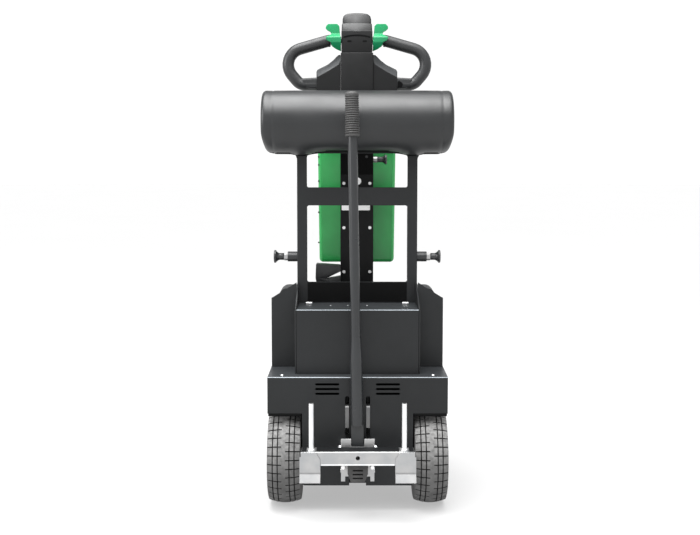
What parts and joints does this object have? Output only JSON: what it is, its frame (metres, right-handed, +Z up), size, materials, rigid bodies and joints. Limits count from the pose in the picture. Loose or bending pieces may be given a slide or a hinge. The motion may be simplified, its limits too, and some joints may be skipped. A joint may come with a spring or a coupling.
{
  "type": "electric tow tug",
  "caption": "Walk-behind battery tug with lifting hitch bar and prongs, hand lever, padded bumper roll, treaded drive wheels, swivel casters and a tilting, height-adjustable steering head.",
  "frame": {"origin": "on the floor under the middle of the part's box, with the lever up and the hitch down", "axes": "+X to the right as seen from the hitch end, -Y towards the trolley, +Y towards the operator, +Z up"},
  "size_m": [0.518, 0.587, 1.349],
  "materials": {
    "charcoal_coat": "satin",
    "black_coat": "satin",
    "zinc_plate": "satin",
    "rim_paint": "satin",
    "shaft_steel": "satin",
    "cast_alloy": "matte",
    "motor_paint": "matte",
    "tyre_rubber": "matte",
    "black_rubber": "matte",
    "pad_cover": "satin",
    "battery_case": "matte",
    "battery_lead": "satin",
    "dark_plastic": "matte",
    "green_plastic": "satin",
    "red_plastic": "gloss"
  },
  "bodies": {
    "chassis": {"chassis_tub": "charcoal_coat", "apron": "charcoal_coat", "side_wings": "charcoal_coat", "front_cover": "charcoal_coat", "bumper_frame": "charcoal_coat", "bumper_roll": "pad_cover", "rear_hood": "charcoal_coat", "batteries": "battery_case", "battery_link": "battery_lead", "battery_plug": "dark_plastic", "motor_controller": "cast_alloy", "transaxle": "cast_alloy", "drive_motor": "motor_paint", "motor_brake": "motor_paint", "guide_rods": "zinc_plate", "tiller_bracket": "charcoal_coat", "tiller_pin": "zinc_plate", "tiller_spring": "zinc_plate", "switch_bases": "dark_plastic", "charge_socket": "dark_plastic", "plunger_sleeves": "black_coat", "plunger_nuts": "zinc_plate", "caster_plates": "zinc_plate", "caster_bolts": "zinc_plate"},
    "wheel_left": {"tyre_left": "tyre_rubber", "rim_left": "rim_paint", "half_shaft_left": "shaft_steel", "wheel_nuts_left": "zinc_plate"},
    "wheel_right": {"tyre_right": "tyre_rubber", "rim_right": "rim_paint", "half_shaft_right": "shaft_steel", "wheel_nuts_right": "zinc_plate"},
    "caster_left": {"caster_fork_left": "zinc_plate", "caster_axle_left": "zinc_plate"},
    "caster_right": {"caster_fork_right": "zinc_plate", "caster_axle_right": "zinc_plate"},
    "caster_roller_left": {"caster_wheel_left": "black_rubber"},
    "caster_roller_right": {"caster_wheel_right": "black_rubber"},
    "carriage": {"hitch_carriage": "zinc_plate", "hitch_bolts": "zinc_plate", "hitch_pad": "black_rubber"},
    "lever": {"hitch_lever": "black_coat", "lever_grip": "black_rubber"},
    "plunger_left": {"plunger_left": "dark_plastic"},
    "plunger_right": {"plunger_right": "dark_plastic"},
    "tiller": {"outer_mast": "charcoal_coat", "mast_plate": "black_coat", "mast_screws": "zinc_plate", "green_cover": "green_plastic", "mast_plunger_sleeve": "zinc_plate"},
    "mast_plunger": {"mast_plunger": "dark_plastic"},
    "head": {"inner_mast": "black_coat", "head_shell": "dark_plastic", "handle_loops": "black_coat"},
    "throttle_left": {"throttle_left": "green_plastic"},
    "throttle_right": {"throttle_right": "green_plastic"},
    "cap_button": {"cap_button": "dark_plastic"},
    "horn_button": {"horn_button": "green_plastic"},
    "key": {"key": "zinc_plate"},
    "stop_button": {"stop_button": "red_plastic"}
  },
  "joints": [
    {"name": "wheel_left_roll", "type": "hinge", "parent": "chassis", "child": "wheel_left", "pos_m": [-0.1935, -0.1, 0.13], "axis": [1, 0, 0], "continuous": true},
    {"name": "caster_left_swivel", "type": "hinge", "parent": "chassis", "child": "caster_left", "pos_m": [-0.15, 0.197, 0.11], "axis": [0, 0, 1], "continuous": true},
    {"name": "caster_left_roll", "type": "hinge", "parent": "caster_left", "child": "caster_roller_left", "pos_m": [-0.15, 0.232, 0.05], "axis": [1, 0, 0], "continuous": true},
    {"name": "plunger_left_pull", "type": "slide", "parent": "chassis", "child": "plunger_left", "axis": [-1, 0, 0], "range_m": [0, 0.01], "stiffness_N_per_m": 1500, "springref_m": -0.004},
    {"name": "wheel_right_roll", "type": "hinge", "parent": "chassis", "child": "wheel_right", "pos_m": [0.1935, -0.1, 0.13], "axis": [1, 0, 0], "continuous": true},
    {"name": "caster_right_swivel", "type": "hinge", "parent": "chassis", "child": "caster_right", "pos_m": [0.15, 0.197, 0.11], "axis": [0, 0, 1], "continuous": true},
    {"name": "caster_right_roll", "type": "hinge", "parent": "caster_right", "child": "caster_roller_right", "pos_m": [0.15, 0.232, 0.05], "axis": [1, 0, 0], "continuous": true},
    {"name": "plunger_right_pull", "type": "slide", "parent": "chassis", "child": "plunger_right", "axis": [1, 0, 0], "range_m": [0, 0.01], "stiffness_N_per_m": 1500, "springref_m": -0.004},
    {"name": "carriage_lift", "type": "slide", "parent": "chassis", "child": "carriage", "axis": [0, 0, 1], "range_m": [0, 0.02]},
    {"name": "lever_pull", "type": "hinge", "parent": "carriage", "child": "lever", "pos_m": [0, -0.219, 0.176], "axis": [1, 0, 0], "range_deg": [0, 42]},
    {"name": "tiller_tilt", "type": "hinge", "parent": "chassis", "child": "tiller", "pos_m": [0, 0.153, 0.235], "axis": [-1, 0, 0], "range_deg": [0, 70], "stiffness_Nm_per_rad": 150, "springref_deg": -5.73},
    {"name": "mast_plunger_pull", "type": "slide", "parent": "tiller", "child": "mast_plunger", "axis": [1, 0, 0], "range_m": [0, 0.008], "stiffness_N_per_m": 1200, "springref_m": -0.004},
    {"name": "tiller_height", "type": "slide", "parent": "tiller", "child": "head", "axis": [0, 0, 1], "range_m": [0, 0.12]},
    {"name": "throttle_left_turn", "type": "hinge", "parent": "head", "child": "throttle_left", "pos_m": [0, 0.131, 1.268], "axis": [1, 0, 0], "range_deg": [-25, 25], "stiffness_Nm_per_rad": 0.6},
    {"name": "throttle_right_turn", "type": "hinge", "parent": "head", "child": "throttle_right", "pos_m": [0, 0.131, 1.268], "axis": [1, 0, 0], "range_deg": [-25, 25], "stiffness_Nm_per_rad": 0.6},
    {"name": "cap_button_press", "type": "slide", "parent": "head", "child": "cap_button", "axis": [0, 0, -1], "range_m": [0, 0.005], "stiffness_N_per_m": 2500, "springref_m": -0.003},
    {"name": "horn_button_press", "type": "slide", "parent": "head", "child": "horn_button", "axis": [0, -1, 0], "range_m": [0, 0.003], "stiffness_N_per_m": 1500, "springref_m": -0.002},
    {"name": "key_turn", "type": "hinge", "parent": "chassis", "child": "key", "pos_m": [0.15, 0.12, 0.503], "axis": [0, 1, 0], "range_deg": [0, 90]},
    {"name": "stop_button_press", "type": "slide", "parent": "chassis", "child": "stop_button", "axis": [0, -1, 0], "range_m": [0, 0.004]}
  ],
  "couplings": [
    {"joint": "carriage_lift", "follows": "lever_pull", "m_per_rad": 0.02726},
    {"joint": "throttle_right_turn", "follows": "throttle_left_turn", "ratio": 1}
  ]
}
